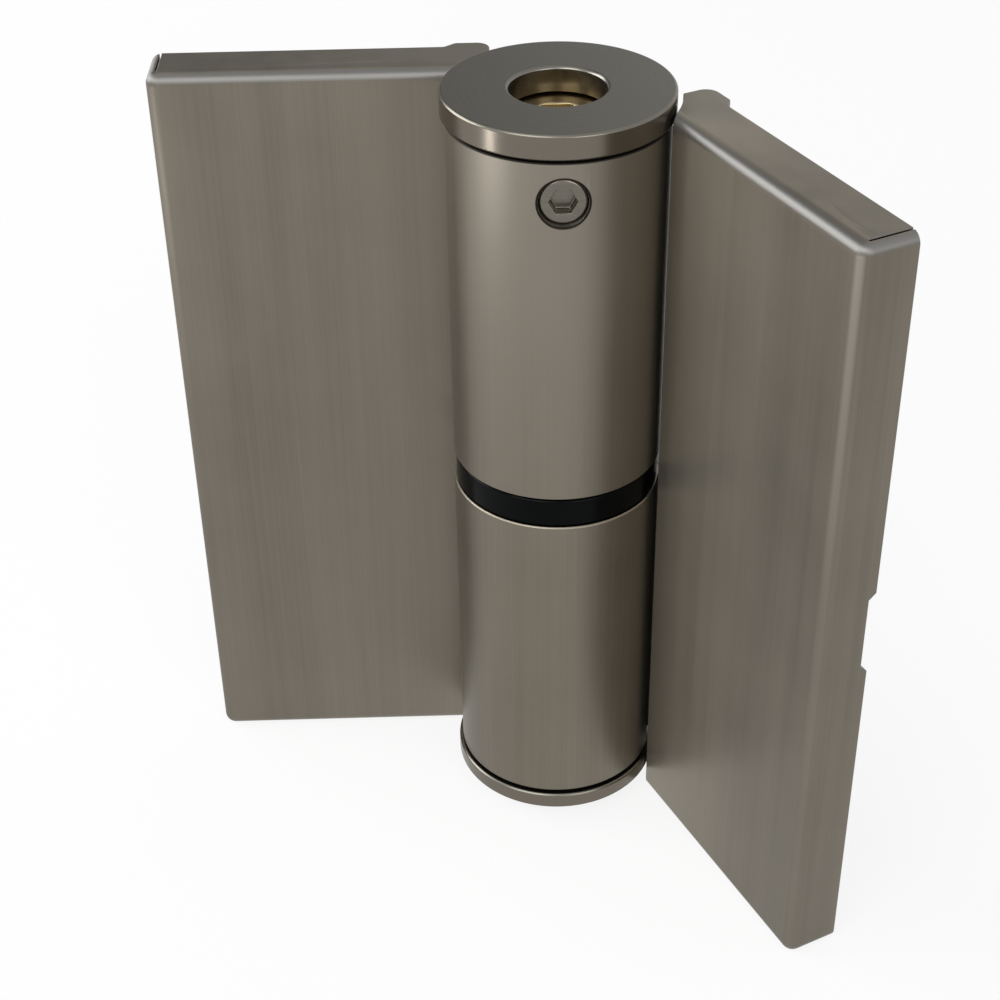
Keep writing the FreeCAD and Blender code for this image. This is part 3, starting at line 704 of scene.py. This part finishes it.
# Closing spring in the upper tube, in two halves, listed with the door side for the lower end and the
# adjuster for the upper; neither half is attached to those bodies here.
spring_low, spring_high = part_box("torsion_spring")
WIRE_RADIUS = 1.1 * MM
TANG = 3.0 * MM
SPRING_FOOT = spring_low[2] + TANG
SPRING_HEAD = spring_high[2] - TANG
SPRING_MIDDLE = (SPRING_FOOT + SPRING_HEAD) / 2
HALF_TURNS = 3.0
SPRING = spring_tree()
TO_MIDDLE = Matrix.Translation((0.0, 0.0, SPRING_MIDDLE))
END_FOR_END = TO_MIDDLE @ Matrix.Rotation(math.pi, 4, "X") @ TO_MIDDLE.inverted()
for end, body, tip in (("lower", "door_side", SPRING_FOOT), ("upper", "adjuster", SPRING_HEAD)):
    half = grown("closing_spring_" + end, SPRING, {
        "Base": SPRING_FOOT,
        "Height": SPRING_MIDDLE - SPRING_FOOT,
        "Turns": HALF_TURNS,
        "Coil radius": spring_high[0] - WIRE_RADIUS,
        "Wire radius": WIRE_RADIUS,
        "Tang": TANG,
        "Material": FINISH["spring_steel"],
    })
    if end == "upper":
        half.data.transform(END_FOR_END)
    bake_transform(half)
    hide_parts("torsion_spring")


# White background, pale floor and soft studio light.
ROOM_LIGHT = (0.55, 0.55, 0.56)
ROOM_MIRRORED = (0.87, 0.87, 0.87)
WHITE = (1.0, 1.0, 1.0)
DARK_CORNER = (-0.6, 0.72, 0.35)
DARK_CORNER_EDGE = 0.55
DARK_CORNER_HEART = 0.9
DARK_CORNER_LEVEL = 0.3
FLOOR_HALF_WIDTH = 3.0
PAPER_COLOUR = (0.85, 0.85, 0.85)
PAPER_ROUGHNESS = 0.9
PAPER_GLOW_MIRRORED = 0.82
PAPER_GLOW_SHARE = 0.85


def seen_ray(tree):
    """One for a ray from the camera, also by way of a mirror or through glass."""
    rays = tree.nodes.new("ShaderNodeLightPath")
    seen = math_node(tree, "MAXIMUM", rays.outputs["Is Camera Ray"], rays.outputs["Is Glossy Ray"])
    return math_node(tree, "MAXIMUM", seen, rays.outputs["Is Transmission Ray"])


def camera_ray(tree):
    return tree.nodes.new("ShaderNodeLightPath").outputs["Is Camera Ray"]


def light_room():
    """White to the camera, grey to the object, with one dark corner for the metal to mirror."""
    world = bpy.data.worlds.new("studio")
    bpy.context.scene.world = world
    world.use_nodes = True
    tree = world.node_tree
    way = tree.nodes.new("ShaderNodeTexCoord").outputs["Generated"]
    towards = vector_node(tree, "DOT_PRODUCT", way, DARK_CORNER)
    corner = ramp(tree, towards, DARK_CORNER_EDGE, DARK_CORNER_HEART, 1.0, DARK_CORNER_LEVEL,
                  ease="SMOOTHSTEP")
    room = mix(tree, seen_ray(tree), ROOM_LIGHT, ROOM_MIRRORED)
    dimmed = mix(tree, 1.0, room, corner, blend="MULTIPLY")
    feed(tree, tree.nodes["Background"], Color=mix(tree, camera_ray(tree), dimmed, WHITE), Strength=1.0)


def paper_finish():
    """Pale paper that keeps the object's shadow and glows towards the camera and in mirrors."""
    material, tree, shader = surface("floor_paper", 0.0)
    feed(tree, shader, Base_Color=PAPER_COLOUR, Roughness=PAPER_ROUGHNESS)
    extra = times(tree, camera_ray(tree), 1.0 - PAPER_GLOW_MIRRORED)
    glow = feed(tree, tree.nodes.new("ShaderNodeEmission"), Strength=plus(tree, extra, PAPER_GLOW_MIRRORED))
    both = tree.nodes.new("ShaderNodeMixShader")
    put(tree, both.inputs[0], times(tree, seen_ray(tree), PAPER_GLOW_SHARE))
    put(tree, both.inputs[1], shader.outputs[0])
    put(tree, both.inputs[2], glow.outputs[0])
    feed(tree, tree.nodes["Material Output"], Surface=both.outputs[0])
    return material


def lay_floor():
    plane = bmesh.new()
    bmesh.ops.create_grid(plane, x_segments=1, y_segments=1, size=FLOOR_HALF_WIDTH)
    mesh = bpy.data.meshes.new("floor")
    plane.to_mesh(mesh)
    plane.free()
    mesh.materials.append(paper_finish())
    return link(bpy.data.objects.new("floor", mesh))


def area_lamp(name, place, width, height, power):
    light = bpy.data.lights.new(name, "AREA")
    light.shape = "RECTANGLE"
    light.size = width
    light.size_y = height
    light.energy = power
    lamp = link(bpy.data.objects.new(name, light))
    lamp.location = place
    return lamp


light_room()
floor = lay_floor()

# Soft boxes: name, place, aim, width, height and power in watts.
SOFT_BOXES = [
    ("key_light", (-0.45, -0.7, 0.8), (0.0, 0.0, 0.06), 0.7, 0.7, 5.0),
    ("side_light", (-0.95, 0.3, 0.45), (0.0, 0.0, 0.06), 0.9, 0.7, 10.0),
    ("fill_light", (0.5, -1.0, 0.6), (0.1, 0.0, 0.0), 0.6, 0.6, 3.0),
]
for name, place, aim, width, height, power in SOFT_BOXES:
    lamp = area_lamp(name, place, width, height, power)
    lamp.rotation_euler = (Vector(aim) - lamp.location).to_track_quat("-Z", "Y").to_euler()

# Low strip to the left, facing up, mirrored as a streak in the cap's rim and a soft band on the tube.
STRIP_AZIMUTH = math.radians(200.6)
STRIP_DISTANCE = 0.26
STRIP_RISE = 0.002
STRIP_LENGTH = 0.08
STRIP_WIDTH = 0.03
STRIP_POWER = 0.08
strip_x = STRIP_DISTANCE * math.cos(STRIP_AZIMUTH)
strip_y = STRIP_DISTANCE * math.sin(STRIP_AZIMUTH)
strip = area_lamp("strip_light", (strip_x, strip_y, STRIP_RISE), STRIP_LENGTH, STRIP_WIDTH, STRIP_POWER)
strip.rotation_euler = (math.pi, 0.0, STRIP_AZIMUTH)
strip.visible_camera = False
